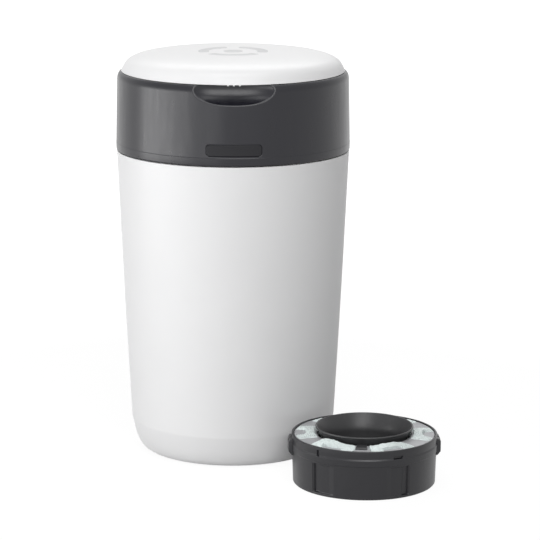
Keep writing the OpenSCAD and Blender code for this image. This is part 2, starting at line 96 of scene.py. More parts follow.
# Head
(_, _, BAND_Z), (BAND_R, _, _) = node_box("head_shell")
_, HINGE_Y, HEAD_TOP = joint_place("lid_hinge")
LIP_H, LIP_INSET, BAND_CHAMFER = 8.8, 0.2, 1.1
SHOULDER_R, SHOULDER_H = 126.35, 8.5
LEDGE_R, LEDGE_UNDER_Z = 107.7, 418.5
HEAD_WALL = 2
SCOOP_Y, SCOOP_Z = 129, 418
SCOOP_HALF_W, SCOOP_R, SCOOP_POWER = 49, 17.5, 2.5
SCOOP_EDGE, SCOOP_WALL = 1.2, 2.5
PLATE_GAP = 0.3
(_, _, plate_low), (plate_half_w, _, plate_top) = node_box("name_plate")
PLATE_W, PLATE_H = 2 * plate_half_w + PLATE_GAP, plate_top - plate_low + PLATE_GAP
PLATE_Z = (plate_low + plate_top) / 2
PLATE_CORNER, PLATE_SEAT_R, PLATE_T = 3.2, 126.3, 1.2
KNUCKLE_R, LID_KNUCKLE_W, KNUCKLE_W, KNUCKLE_GAP = 3.4, 29.6, 10.6, 0.6
GUIDE_COUNT, GUIDE_HALF_W, GUIDE_TOP = 12, 1, 364
STUD_ANGLES, STUD_AT_R, STUD_R = (90, 45, -45, -90, -135, 135), 112, 3.2

# Lid
_, (SEAM_R, _, LID_TOP) = node_box("lid_cover")
LID_Z = 421.4
DOME_SIDE_H, DOME_LEAN, DOME_TOP_LEAN = 11.6, 6, 3.5
LID_WALL = 2.2
CROWN_R = 46
_, (_, MARK_R, _) = node_box("lid_mark")
TOOTH_PLACES = (-6.2, 0, 6.2)
GROOVE_IN_R = 104.4

# Centre of the shoulder's arc, which is part of an ellipse
ARC_R, ARC_Z = SEAM_R - 0.2, HEAD_TOP - SHOULDER_H

# Cassette
(_, _, LOADED_Z), _ = node_box("cassette_housing")
refill_low, refill_high = node_box("refill_housing")
REFILL = ((refill_low[0] + refill_high[0]) / 2, (refill_low[1] + refill_high[1]) / 2, refill_low[2])
(_, _, COVER_Z), (_, _, COVER_TOP) = node_box("refill_cover")
COVER_IN_R, COVER_OUT_R = 50.5, 74.6
THROAT_R, THROAT_OUT_R = 43, 44.9
FILM_IN_R, FILM_OUT_R = 51.6, 74.2
WINDOW_IN_R, WINDOW_OUT_R = 55, 71.5
WINDOW_SPAN = 41
TONGUE_HALF_W, TONGUE_ROOT = 11, 4
NOTCH_ANGLES, NOTCH_HALF_ANGLE, NOTCH_DEPTH = (102, 129, 217, 249), 2.6, 2.6
# Each window: its angle, how far in its tongue reaches, and the film's rise and where along it that peaks
WINDOWS = ((22.5, 67, 3.4, 0.1), (84.5, 62, 2.6, 0.2), (145, 63, 3, 0), (207, 63, 3, 0),
           (267.5, 62, 2.6, -0.2), (327.5, 67, 4.6, -0.45))


# ---------- mesh making ----------


def rounded(points, closed=True, steps=5):
    """An outline whose (r, z, size) corners are turned into arcs; (r, z) corners stay as they are."""
    out = []
    count = len(points)
    for i, point in enumerate(points):
        here = np.array(point[:2], float)
        size = point[2] if len(point) > 2 else 0
        if size <= 0 or (not closed and i in (0, count - 1)):
            out.append(here)
            continue
        before = np.array(points[i - 1][:2], float) - here
        after = np.array(points[(i + 1) % count][:2], float) - here
        a, b = np.linalg.norm(before), np.linalg.norm(after)
        half = math.acos(np.clip(before @ after / (a * b), -1, 1)) / 2
        cut = min(size / max(math.tan(half), 1e-3), 0.48 * a, 0.48 * b)
        start, end = here + before / a * cut, here + after / b * cut
        for t in np.linspace(0, 1, steps):
            out.append((1 - t) ** 2 * start + 2 * t * (1 - t) * here + t * t * end)
    return np.array(out)


def bezier(knots, steps):
    """Points on the cubic curve of four knots."""
    t = np.linspace(0, 1, steps)[:, None]
    k = np.array(knots, float)
    return (1 - t) ** 3 * k[0] + 3 * t * (1 - t) ** 2 * k[1] + 3 * t * t * (1 - t) * k[2] + t ** 3 * k[3]


def grid_faces(rows, columns, wrap_rows=False, wrap_columns=True):
    """Four-sided faces between a grid's points, closed round a way that wraps."""
    index = np.arange(rows * columns).reshape(rows, columns)
    if wrap_rows:
        index = np.vstack([index, index[:1]])
    if wrap_columns:
        index = np.hstack([index, index[:, :1]])
    corners = (index[:-1, :-1], index[:-1, 1:], index[1:, 1:], index[1:, :-1])
    return np.stack(corners, -1).reshape(-1, 4).tolist()


def polar(r, angle, z):
    """Points at radii r, angles from the front and heights z."""
    a = np.radians(angle)
    r, a, z = np.broadcast_arrays(r, a, z)
    return np.stack([r * np.sin(a), -r * np.cos(a), z], -1)


def lathe(outline, segments=240):
    """A closed outline turned about +Z. One that begins and ends on the axis is closed by poles."""
    outline = np.asarray(outline, float)
    on_axis = outline[:, 0] < 1e-6
    ring = outline[~on_axis]
    angles = np.linspace(0, 360, segments, endpoint=False)
    points = polar(ring[:, :1], angles[None], ring[:, 1:]).reshape(-1, 3)
    faces = grid_faces(len(ring), segments, wrap_rows=not on_axis.any())
    for end, row in ((outline[0], 0), (outline[-1], (len(ring) - 1) * segments)):
        if end[0] < 1e-6:
            points = np.vstack([points, [0, 0, end[1]]])
            tip = len(points) - 1
            faces += [[tip, row + i, row + (i + 1) % segments] for i in range(segments)]
    return points, faces


def sweep(outline, angle, span, steps):
    """A closed outline swept round part of a circle, with flat ends."""
    outline = np.asarray(outline, float)
    angles = np.linspace(angle - span / 2, angle + span / 2, steps)
    points = polar(outline[None, :, 0], angles[:, None], outline[None, :, 1])
    count = len(outline)
    faces = grid_faces(steps, count)
    faces += [list(range(count)), list(range((steps - 1) * count, steps * count))]
    return points.reshape(-1, 3), faces


def round_box(low, high, size):
    """A box with rounded edges."""
    low, high = Vector(low), Vector(high)
    bm = bmesh.new()
    bmesh.ops.create_cube(bm, size=1)
    for v in bm.verts:
        v.co = Vector([(low[i] + high[i]) / 2 + v.co[i] * (high[i] - low[i]) for i in range(3)])
    bmesh.ops.bevel(bm, geom=bm.edges[:], offset=size, segments=3, profile=0.5, affect="EDGES")
    return taken(bm)


def prism(outline, x0, x1, size):
    """A (y, z) outline drawn out along X, with rounded edges."""
    bm = bmesh.new()
    ends = [[bm.verts.new((x, y, z)) for y, z in outline] for x in (x0, x1)]
    for end in ends:
        bm.faces.new(end)
    for i in range(len(outline)):
        bm.faces.new((ends[0][i - 1], ends[0][i], ends[1][i], ends[1][i - 1]))
    bmesh.ops.recalc_face_normals(bm, faces=bm.faces[:])
    bmesh.ops.bevel(bm, geom=bm.edges[:], offset=size, segments=3, profile=0.5, affect="EDGES")
    return taken(bm)


def taken(bm):
    """A bmesh's points and faces; the bmesh is freed."""
    bm.verts.index_update()
    points = np.array([v.co[:] for v in bm.verts])
    faces = [[v.index for v in f.verts] for f in bm.faces]
    bm.free()
    return points, faces


def pin_outline(r, start, end, corner):
    """A rod's outline along its axis, with rounded ends."""
    return rounded([(0, start), (r, start, corner), (r, end, corner), (0, end)], closed=False)


def rod(x0, x1, r, y, z):
    """A rod along X with rounded ends."""
    points, faces = lathe(pin_outline(r, x0, x1, 0.5), 48)
    return points[:, [2, 0, 1]] + [0, y, z], faces


def stud(r, angle, radius, z0, z1):
    """An upright rod with a rounded top and foot, at a radius and angle from the front."""
    points, faces = lathe(pin_outline(radius, z0, z1, 0.4), 40)
    return points + polar(r, angle, 0), faces


def turned(part, angle):
    """A part turned about +Z."""
    c, s = math.cos(math.radians(angle)), math.sin(math.radians(angle))
    return part[0] @ np.array([[c, s, 0], [-s, c, 0], [0, 0, 1]]), part[1]


def joined(*parts):
    """Several parts as one, their solids kept apart."""
    points, faces = [], []
    for p, f in parts:
        base = sum(len(q) for q in points)
        points.append(p)
        faces += [[i + base for i in face] for face in f]
    return np.vstack(points), faces


def closed_sheet(first, second, rows, columns):
    """Two grids of points as the two sides of a sheet, joined round the edge."""
    size = rows * columns
    faces = grid_faces(rows, columns, wrap_columns=False)
    index = np.arange(size).reshape(rows, columns)
    rim = np.concatenate([index[0], index[1:, -1], index[-1, -2::-1], index[-2:0:-1, 0]])
    sides = [[a, b, b + size, a + size] for a, b in zip(rim, np.roll(rim, -1))]
    return np.vstack([first, second]), faces + [[i + size for i in f] for f in faces] + sides


def angle_from(angles, middle):
    """Angles counted from a middle one, between -180 and 180."""
    return (angles - middle + 180) % 360 - 180


def step_up(x, width):
    """0 to 1 over a width centred on 0."""
    t = np.clip(x / width + 0.5, 0, 1)
    return t * t * (3 - 2 * t)


def rect_distance(x, z, w, h, corner):
    """Distance from a rounded rectangle's edge, negative inside."""
    dx, dz = np.abs(x) - w / 2 + corner, np.abs(z) - h / 2 + corner
    return np.hypot(np.maximum(dx, 0), np.maximum(dz, 0)) + np.minimum(np.maximum(dx, dz), 0) - corner


def plate(outlines, z0, z1, bevel):
    """A flat plate from its outer outline and its holes, with rounded edges."""
    curve = bpy.data.curves.new("plate", "CURVE")
    curve.dimensions, curve.fill_mode = "2D", "BOTH"
    curve.extrude = (z1 - z0) / 2 - bevel
    curve.bevel_depth, curve.bevel_resolution, curve.offset = bevel, 2, -bevel
    for outline in outlines:
        spline = curve.splines.new("POLY")
        spline.points.add(len(outline) - 1)
        for point, (x, y) in zip(spline.points, outline):
            point.co = (x, y, 0, 1)
        spline.use_cyclic_u = True
    holder = bpy.data.objects.new("plate", curve)
    mesh = bpy.data.meshes.new_from_object(holder)
    points = np.array([v.co[:] for v in mesh.vertices]) + [0, 0, (z0 + z1) / 2]
    faces = [list(p.vertices) for p in mesh.polygons]
    for block, store in ((holder, bpy.data.objects), (curve, bpy.data.curves), (mesh, bpy.data.meshes)):
        store.remove(block)
    return points, faces


def piece(name, part, material, body, nodes=(), crease=32, at=(0, 0, 0)):
    """An object of one part, in metres, that rides on a body and stands for CAD nodes."""
    mesh = bpy.data.meshes.new(name)
    mesh.from_pydata((part[0] * MM).tolist(), [], part[1])
    bm = bmesh.new()
    bm.from_mesh(mesh)
    bmesh.ops.remove_doubles(bm, verts=bm.verts[:], dist=1e-7)
    bmesh.ops.recalc_face_normals(bm, faces=bm.faces[:])
    bm.to_mesh(mesh)
    bm.free()
    mesh.polygons.foreach_set("use_smooth", [True] * len(mesh.polygons))
    mesh.set_sharp_from_angle(angle=math.radians(crease))
    mesh.materials.append(material)
    return shown(name, mesh, body, nodes, at)


def shown(name, mesh, body, nodes, at=(0, 0, 0)):
    """An object of a mesh, which pieces of the same shape share."""
    obj = bpy.data.objects.new(name, mesh)
    bpy.context.scene.collection.objects.link(obj)
    obj.location = Vector(at) * MM
    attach(obj, body)
    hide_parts(*nodes)
    return obj


# ---------- materials ----------


def surface(name, colour, roughness, metallic=0.0, specular=0.5):
    """A Principled material, with its node tree and its shader."""
    material = bpy.data.materials.new(name)
    material.use_nodes = True
    tree = material.node_tree
    shader = tree.nodes["Principled BSDF"]
    shader.inputs["Base Color"].default_value = (*colour, 1)
    shader.inputs["Roughness"].default_value = roughness
    shader.inputs["Metallic"].default_value = metallic
    shader.inputs["Specular IOR Level"].default_value = specular
    return material, tree, shader


def math_node(tree, operation, first, second):
    """Two sockets worked into one."""
    node = tree.nodes.new("ShaderNodeMath")
    node.operation = operation
    tree.links.new(first, node.inputs[0])
    tree.links.new(second, node.inputs[1])
    return node.outputs[0]


def texture(tree, kind, stretch=(1, 1, 1), **settings):
    """A texture in the object's own coordinates, in metres."""
    coordinates = tree.nodes.new("ShaderNodeTexCoord")
    mapping = tree.nodes.new("ShaderNodeMapping")
    mapping.inputs["Scale"].default_value = stretch
    node = tree.nodes.new(kind)
    for key, value in settings.items():
        node.inputs[key].default_value = value
    tree.links.new(coordinates.outputs["Object"], mapping.inputs["Vector"])
    tree.links.new(mapping.outputs["Vector"], node.inputs["Vector"])
    return node.outputs[0]


def spread(tree, value, low, high, start=0.3, end=0.7):
    """A 0 to 1 texture spread over a range of values."""
    node = tree.nodes.new("ShaderNodeMapRange")
    for key, number in zip(("From Min", "From Max", "To Min", "To Max"), (start, end, low, high)):
        node.inputs[key].default_value = number
    tree.links.new(value, node.inputs["Value"])
    return node.outputs[0]


def tint(tree, shader, value, dark, light):
    """Varies the base colour between two colours."""
    ramp = tree.nodes.new("ShaderNodeValToRGB")
    ramp.color_ramp.elements[0].position = 0.3
    ramp.color_ramp.elements[0].color = (*dark, 1)
    ramp.color_ramp.elements[1].position = 0.7
    ramp.color_ramp.elements[1].color = (*light, 1)
    tree.links.new(value, ramp.inputs["Fac"])
    tree.links.new(ramp.outputs["Color"], shader.inputs["Base Color"])


def bump(tree, shader, heights, strength, distance):
    """Raises the surface by one or more textures, added up."""
    total = heights[0]
    for height in heights[1:]:
        total = math_node(tree, "ADD", total, height)
    node = tree.nodes.new("ShaderNodeBump")
    node.inputs["Strength"].default_value = strength
    node.inputs["Distance"].default_value = distance
    tree.links.new(total, node.inputs["Height"])
    tree.links.new(node.outputs["Normal"], shader.inputs["Normal"])


def moulded(name, colour, roughness, grain, specular=0.5, change=0.03, scuffs=0.0):
    """Moulded plastic: faint mottle, flow marks, fine grain and, on dark parts, hairline scuffs."""
    material, tree, shader = surface(name, colour, roughness, specular=specular)
    mottle = texture(tree, "ShaderNodeTexNoise", Scale=22, Detail=3)
    tint(tree, shader, mottle, [c * (1 - change) for c in colour], [min(1, c * (1 + change)) for c in colour])
    flow = texture(tree, "ShaderNodeTexNoise", (1, 1, 0.15), Scale=160, Detail=4)
    rough = spread(tree, flow, roughness - 0.03, roughness + 0.04)
    if scuffs:
        lines = texture(tree, "ShaderNodeTexNoise", (0.06, 0.06, 1), Scale=1400, Detail=2)
        rough = math_node(tree, "ADD", rough, spread(tree, lines, 0, scuffs, 0.62, 0.72))
    tree.links.new(rough, shader.inputs["Roughness"])
    fine = texture(tree, "ShaderNodeTexNoise", Scale=2600, Detail=3)
    bump(tree, shader, [fine, flow], grain, 0.00012)
    return material


def metal(name, colour, roughness):
    """Brushed steel."""
    material, tree, shader = surface(name, colour, roughness, metallic=1.0)
    brushed = texture(tree, "ShaderNodeTexNoise", (1, 0.05, 1), Scale=5200, Detail=4)
    tree.links.new(spread(tree, brushed, roughness - 0.08, roughness + 0.12), shader.inputs["Roughness"])
    tint(tree, shader, brushed, [c * 0.88 for c in colour], colour)
    bump(tree, shader, [brushed], 0.15, 0.00005)
    return material


def soft_rubber(name, colour):
    """Matt rubber with a fine tooth."""
    material, tree, shader = surface(name, colour, 0.75, specular=0.35)
    pores = texture(tree, "ShaderNodeTexVoronoi", Scale=2200)
    cloud = texture(tree, "ShaderNodeTexNoise", Scale=60, Detail=4)
    tint(tree, shader, cloud, [c * 0.85 for c in colour], [c * 1.2 for c in colour])
    tree.links.new(spread(tree, cloud, 0.66, 0.84), shader.inputs["Roughness"])
    bump(tree, shader, [pores, cloud], 0.25, 0.0001)
    return material


def film_material(name, colour):
    """Thin crinkled polyethylene film in many layers."""
    material, tree, shader = surface(name, colour, 0.32, specular=0.5)
    layers = texture(tree, "ShaderNodeTexNoise", Scale=240, Detail=6, Distortion=1.4)
    tint(tree, shader, layers, [c * 0.92 for c in colour], [min(1, c * 1.07) for c in colour])
    tree.links.new(spread(tree, layers, 0.24, 0.42), shader.inputs["Roughness"])
    folds = texture(tree, "ShaderNodeTexVoronoi", Scale=420)
    bump(tree, shader, [layers, folds], 0.22, 0.0003)
    shader.inputs["Subsurface Weight"].default_value = 0.12
    shader.inputs["Subsurface Radius"].default_value = (0.004, 0.004, 0.004)
    shader.inputs["Subsurface Scale"].default_value = 0.6
    return material


white_shell = moulded("white_shell", (0.885, 0.885, 0.89), 0.42, 0.10, specular=0.4, change=0.006)
white_lid = moulded("white_lid", (0.86, 0.86, 0.865), 0.38, 0.07, specular=0.45, change=0.005)
charcoal = moulded("charcoal", (0.007, 0.0069, 0.0115), 0.30, 0.10, specular=0.455, change=0.05, scuffs=0.012)
plate_dark = moulded("plate_dark", (0.0115, 0.0114, 0.014), 0.45, 0.14, specular=0.28, change=0.06)
dark_plastic = moulded("dark_plastic", (0.044, 0.044, 0.046), 0.36, 0.14,
                       specular=0.35, change=0.06, scuffs=0.05)
cassette_grey = moulded("cassette_grey", (0.009, 0.0088, 0.0117), 0.37, 0.12,
                        specular=0.48, change=0.08, scuffs=0.05)
cover_grey = moulded("cover_grey", (0.42, 0.425, 0.44), 0.45, 0.14, specular=0.4, change=0.04)
mark_grey = moulded("mark_grey", (0.66, 0.66, 0.67), 0.5, 0.10, specular=0.35, change=0.01)
rubber = soft_rubber("rubber", (0.02, 0.02, 0.021))
steel = metal("steel", (0.62, 0.62, 0.63), 0.3)
film = film_material("film", (0.70, 0.77, 0.76))


# ---------- tub ----------


def wall_r(z):
    """Radius of the tub's wall above the crease, which bows out a little."""
    t = (z - CREASE_Z) / (TUB_TOP_Z - CREASE_Z)
    return CREASE_R + (TUB_TOP_R - CREASE_R) * t + 4 * WALL_BOW * t * (1 - t)


def foot_curve(foot_r, foot_z, crease_r):
    """The curve from the foot up to the crease."""
    knots = [(foot_r, foot_z), (foot_r + 11.5, foot_z), (crease_r - 4.2, CREASE_Z - 21), (crease_r, CREASE_Z)]
    return [tuple(p) for p in bezier(knots, 26)]


def tub():
    """The tub with its neck; the middle of its underside stands clear of the floor."""
    heights = np.concatenate([CREASE_Z + np.array([0.8, 1.8, 4, 8]), np.linspace(60, 328, 18), [333]])
    underside = [(0, UNDERSIDE_Z), (UNDERSIDE_R, UNDERSIDE_Z, 2), (UNDERSIDE_R + 3, FOOT_Z, 1.5)]
    outer = foot_curve(FOOT_R, FOOT_Z, CREASE_R) + [(wall_r(z), z) for z in heights]
    neck = [(TUB_TOP_R, TUB_TOP_Z, 0.9), (NECK_R, TUB_TOP_Z, 0.5), (NECK_R, NECK_TOP, 0.9),
            (NECK_IN_R, NECK_TOP, 0.6), (NECK_IN_R, TUB_TOP_Z - 2, 1)]
    inner = foot_curve(FOOT_R - 1, TUB_FLOOR_Z, CREASE_R - TUB_WALL)
    inner += [(wall_r(z) - TUB_WALL, min(z, TUB_TOP_Z - 6)) for z in heights[:-1]]
    outline = underside + outer + neck + inner[::-1] + [(0, TUB_FLOOR_Z)]
    return lathe(rounded(outline, closed=False), 320)


piece("tub_body", tub(), white_shell, "tub", ["tub_shell"])


# ---------- head ----------


def smooth_max(a, b, k):
    """The larger of two fields, blended over k where they meet."""
    h = np.maximum(k - np.abs(a - b), 0)
    return np.maximum(a, b) + h * h / (4 * k)


def scoop_distance(x, y, z):
    """Distance from the spindle that hollows out the thumb recess, negative inside it."""
    along = np.maximum(np.abs(x) / SCOOP_HALF_W, 1e-6)
    away = np.maximum(np.hypot(y + SCOOP_Y, z - SCOOP_Z) / SCOOP_R, 1e-6)
    size = (along ** SCOOP_POWER + away ** SCOOP_POWER) ** (1 / SCOOP_POWER)
    slope = size ** (1 - SCOOP_POWER) * np.hypot(
        along ** (SCOOP_POWER - 1) / SCOOP_HALF_W, away ** (SCOOP_POWER - 1) / SCOOP_R)
    return (size - 1) / np.maximum(slope, 1e-6)


def hinge_distance(x, y, z, r, half_w):
    """Distance from a rod on the hinge axis, negative inside it."""
    return np.maximum(np.hypot(y - HINGE_Y, z - HEAD_TOP) - r, np.abs(x) - half_w)


def first_inside(field, start, step, count):
    """Radii where a field first turns negative, stepping from start."""
    offsets = step * np.arange(count)
    found = np.array(start, float) + 0 * field(start)
    open_rays = np.ones(found.shape, bool)
    before = field(start)
    for offset in offsets[1:]:
        here = field(start + offset)
        cross = open_rays & (here < 0)
        share = before / np.maximum(before - here, 1e-9)
        found = np.where(cross, start + offset - step * (1 - np.clip(share, 0, 1)), found)
        open_rays &= ~cross
        before = here
        if not open_rays.any():
            break
    return found


def head_columns():
    """Angles of the head's columns, closer at the recess in front and the hinge behind."""
    front = np.arange(-27, 27, 0.22)
    sides = np.arange(27, 165, 1.2)
    rear = np.arange(165, 195, 0.35)
    return np.concatenate([front, sides, rear, 360 - sides[::-1]])


def head_side():
    """The band's outline, from its chamfered foot over the lip up to the shoulder."""
    lip_z = BAND_Z + LIP_H
    return rounded([(BAND_R - BAND_CHAMFER, BAND_Z), (BAND_R - LIP_INSET, BAND_Z + 0.9, 0.8),
                    (BAND_R, lip_z - 0.3, 0.3), (BAND_R - 0.16, lip_z + 0.3, 0.2), (SHOULDER_R, ARC_Z)],
                   closed=False, steps=6)


def head_rows(side):
    """Heights of the outer skin's rows, closer at the plate, the recess and the shoulder."""
    arc = np.radians(np.concatenate([np.linspace(0, 70, 22), np.linspace(73, 89, 9)]))
    rows = np.concatenate([side[1:-1, 1], np.arange(346, 360.4, 0.4), np.linspace(362, 396, 14),
                           np.arange(397, 404, 0.25), np.arange(404, ARC_Z, 0.5),
                           ARC_Z + SHOULDER_H * np.sin(arc)])
    return np.unique(np.round(rows, 3))[:, None]


def outer_radii(angles, rows_z, side):
    """Radii of the head's outer skin, hollowed by the thumb recess, the hinge and the plate's seat."""

    def body_r(z):
        """Radius with nothing cut in."""
        share = np.sqrt(np.clip(1 - ((z - ARC_Z) / SHOULDER_H) ** 2, 0, 1))
        return np.where(z > ARC_Z, ARC_R + (SHOULDER_R - ARC_R) * share, np.interp(z, side[:, 1], side[:, 0]))

    def solid(r):
        """Distance from the skin with the recess and the hinge cut in, negative inside it."""
        x, y, z = np.moveaxis(polar(r, angles, rows_z), -1, 0)
        rise = np.maximum(z - ARC_Z, 0)
        stretch = SHOULDER_H / (SHOULDER_R - ARC_R)
        out = np.maximum(r - ARC_R, 0) * stretch
        size = np.hypot(out, rise)
        shoulder = (size - SHOULDER_H) * size / np.maximum(np.hypot(out * stretch, rise), 1e-6)
        shape = np.where(z > ARC_Z, shoulder, r - body_r(z))
        shape = smooth_max(shape, -scoop_distance(x, y, z), SCOOP_EDGE)
        return smooth_max(shape, -hinge_distance(x, y, z, KNUCKLE_R + 0.4, LID_KNUCKLE_W / 2 + 0.4), 0.5)

    outer = first_inside(solid, body_r(rows_z) + 0 * angles, -0.25, 130)
    x = outer * np.sin(np.radians(angles))
    seat = step_up(-rect_distance(x, rows_z - PLATE_Z, PLATE_W, PLATE_H, PLATE_CORNER), 0.5)
    in_front = np.cos(np.radians(angles)) > 0
    return np.where(in_front, outer - (outer - PLATE_SEAT_R) * seat, outer)


def inner_radii(angles, in_z, in_r):
    """Radii of the head's inner side, which goes round the recess and backs the hinge."""
    outline = np.array([(LEDGE_R + 0.6, LEDGE_UNDER_Z), (in_r - 6, LEDGE_UNDER_Z), (in_r - 2.4, 417.3),
                        (in_r - 0.6, 414.5), (in_r, 411), (in_r + 0.2, 346), (in_r - 1.2, 343),
                        (in_r - 1.2, BAND_Z)])
    wall = np.interp(in_z, outline[::-1, 1], outline[::-1, 0])

    def hollow(r):
        """Distance from the hollow inside the head, positive inside it."""
        x, y, z = np.moveaxis(polar(r, angles, in_z), -1, 0)
        backing = hinge_distance(x, y, z, 6.5, 28)
        return -smooth_max(-(wall - r), -np.minimum(scoop_distance(x, y, z) - SCOOP_WALL, backing), 1.5)

    return first_inside(hollow, LEDGE_R + 0.3 + 0 * angles + 0 * in_z, 0.25, 80)


def head_skin():
    """The head's shell: outer side, ledge under the lid, inner side and foot, as rings of points."""
    angles = head_columns()[None]
    side = head_side()
    rows_z = head_rows(side)
    outer = outer_radii(angles, rows_z, side)
    in_r = SHOULDER_R - HEAD_WALL
    in_z = np.concatenate([[LEDGE_UNDER_Z, 418.4, 418, 417], np.arange(416, 392, -0.8),
                           np.linspace(390, 346, 10), [344, 343, 340, BAND_Z + 0.4]])[:, None]
    inner = inner_radii(angles, in_z, in_r)
    shares = np.array([0.06, 0.3, 0.6, 0.9, 0.98])[:, None]
    ledge = outer[-1:] + (LEDGE_R + 0.4 - outer[-1:]) * shares
    rings = [polar(outer, angles, rows_z), polar(ledge, angles, HEAD_TOP)]
    for r, z in ((LEDGE_R, HEAD_TOP - 0.4), (LEDGE_R, LEDGE_UNDER_Z + 0.4), (LEDGE_R + 0.3, LEDGE_UNDER_Z)):
        rings.append(polar(r + 0 * angles, angles, z))
    rings.append(polar(inner, angles, in_z))
    for r in (in_r - 0.8, BAND_R - BAND_CHAMFER):
        rings.append(polar(r + 0 * angles, angles, BAND_Z))
    points = np.vstack(rings)
    return points.reshape(-1, 3), grid_faces(*points.shape[:2], wrap_rows=True)


def hinge_knuckle(x0):
    """One of the head's two knuckles, and the foot that joins it to the shell."""
    low, front = HEAD_TOP - 10, HINGE_Y - KNUCKLE_R
    back = HINGE_Y + KNUCKLE_R - 0.3
    foot, faces = prism([(front, low), (SHOULDER_R - 0.8, low), (back, HEAD_TOP - 3), (back, HEAD_TOP),
                         (front, HEAD_TOP)], x0, x0 + KNUCKLE_W, 0.4)
    reach = np.hypot(foot[:, 0], foot[:, 1])
    foot[:, :2] *= np.minimum(1, (BAND_R + 0.6) / reach)[:, None]
    return [rod(x0, x0 + KNUCKLE_W, KNUCKLE_R, HINGE_Y, HEAD_TOP), (foot, faces)]


def neck_guide():
    """A rib inside the band that stands on the tub's neck and centres the head on it."""
    rib = round_box((-GUIDE_HALF_W, -125.9, BAND_Z + 2), (GUIDE_HALF_W, -121.9, GUIDE_TOP), 0.4)
    rest = round_box((-GUIDE_HALF_W, -125.9, NECK_TOP + 0.1), (GUIDE_HALF_W, -118.5, GUIDE_TOP), 0.4)
    return joined(rib, rest)


def head_parts():
    """The head's shell with its knuckles, ribs and screw studs."""
    half = LID_KNUCKLE_W / 2 + KNUCKLE_GAP
    parts = [head_skin(), *hinge_knuckle(-half - KNUCKLE_W), *hinge_knuckle(half)]
    pitch = 360 / GUIDE_COUNT
    parts += [turned(neck_guide(), pitch * (i + 0.5)) for i in range(GUIDE_COUNT)]
    parts += [stud(STUD_AT_R, a, STUD_R, 413.5, 419.5) for a in STUD_ANGLES]
    return joined(*parts)


def name_plate():
    """A curved plate with rounded corners and a soft edge."""
    w, h, edge = PLATE_W - PLATE_GAP, PLATE_H - PLATE_GAP, 0.35
    steps = np.array([0, 0.12, 0.35, 0.8, 1.4, 2, 2.5])
    x = np.concatenate([-w / 2 + steps, np.linspace(-w / 2 + 4, w / 2 - 4, 40), w / 2 - steps[::-1]])[None]
    corner = np.maximum(np.abs(x) - w / 2 + PLATE_CORNER, 0)
    half = h / 2 - PLATE_CORNER + np.sqrt(np.maximum(PLATE_CORNER ** 2 - corner ** 2, 0))
    v = np.concatenate([[-1, -0.98, -0.95, -0.9], np.linspace(-0.8, 0.8, 9), [0.9, 0.95, 0.98, 1]])[:, None]
    z = v * half
    inside = np.clip(-rect_distance(x, z, w, h, PLATE_CORNER) / edge, 0, 1)
    front_r = PLATE_SEAT_R + PLATE_T - edge + edge * np.sqrt(1 - (1 - inside) ** 2)
    back, front = [np.stack([x + 0 * z, -np.sqrt(r * r - x * x), z + PLATE_Z + 0 * x], -1).reshape(-1, 3)
                   for r in (PLATE_SEAT_R + 0.02 + 0 * z, front_r)]
    return closed_sheet(back, front, *z.shape)


def bezel():
    """The flat ring round the cassette's opening."""
    (_, _, low), (r, _, top) = node_box("bezel_ring")
    return lathe(rounded([(92, low), (r, low, 0.3), (r, top, 0.8), (93.6, top, 0.8), (92, low + 1, 0.6)]))


piece("head_band", head_parts(), charcoal, "head", ["head_shell"], crease=50)
piece("front_plate", name_plate(), plate_dark, "head", ["name_plate"])
piece("bezel", bezel(), charcoal, "head", ["bezel_ring"])


# ---------- lid ----------


def dome(inset):
    """The dome's outline from the edge to the axis, flat in the crown."""
    edge, top, side = SEAM_R - inset, LID_TOP - inset, LID_Z + DOME_SIDE_H - inset / 2
    curve = bezier([(edge, LID_Z), (edge - DOME_LEAN, side), (edge - DOME_TOP_LEAN, top), (CROWN_R, top)], 72)
    return [tuple(p) for p in curve] + [(CROWN_R * t, top) for t in (0.8, 0.6, 0.4, 0.2, 0.1, 0)]


def lid():
    """The lid's shell with its hinge barrel, the bar that carries it, and the teeth under its front edge."""
    outer, inner = dome(0), dome(LID_WALL)
    in_r = inner[0][0]
    edge = [(in_r - 0.1, LID_Z + 0.3), (in_r + 0.3, LID_Z), (SEAM_R - 0.6, LID_Z),
            (SEAM_R - 0.2, LID_Z + 0.25)]
    half = LID_KNUCKLE_W / 2
    parts = [lathe(inner[:0:-1] + edge + outer[1:], 320), rod(-half, half, KNUCKLE_R, HINGE_Y, HEAD_TOP),
             round_box((-half, SEAM_R - 2.1, LID_Z), (half, HINGE_Y, LID_Z + 2.4), 0.35)]
    parts += [round_box((x - 1, -SEAM_R + 0.6, LID_Z - 1.1), (x + 1, -SEAM_R + 2.1, LID_Z + 0.8), 0.25)
              for x in TOOTH_PLACES]
    return joined(*parts)


def arc_shape(inner, outer, angle, span):
    """A flat arc with rounded ends, as (x, y) points."""
    points, corner = [], 2.2
    for r, way in ((outer, 1), (inner, -1)):
        turn = math.degrees(corner / r)
        sweep_angles = np.linspace(-span / 2 + turn, span / 2 - turn, 40) * way
        points += [(r, angle + a) for a in sweep_angles]
        swing = way * span / 2
        toward = -corner * way
        points += [(r + toward * (1 - math.cos(t)), angle + swing - way * turn * (1 - math.sin(t)))
                   for t in np.radians((30, 60, 90))]
        other = inner if way == 1 else outer
        turn_other = math.degrees(corner / other)
        points += [(other - toward * (1 - math.cos(t)), angle + swing - way * turn_other * (1 - math.sin(t)))
                   for t in np.radians((90, 60, 30))]
    return [tuple(polar(r, a, 0)[:2]) for r, a in points]


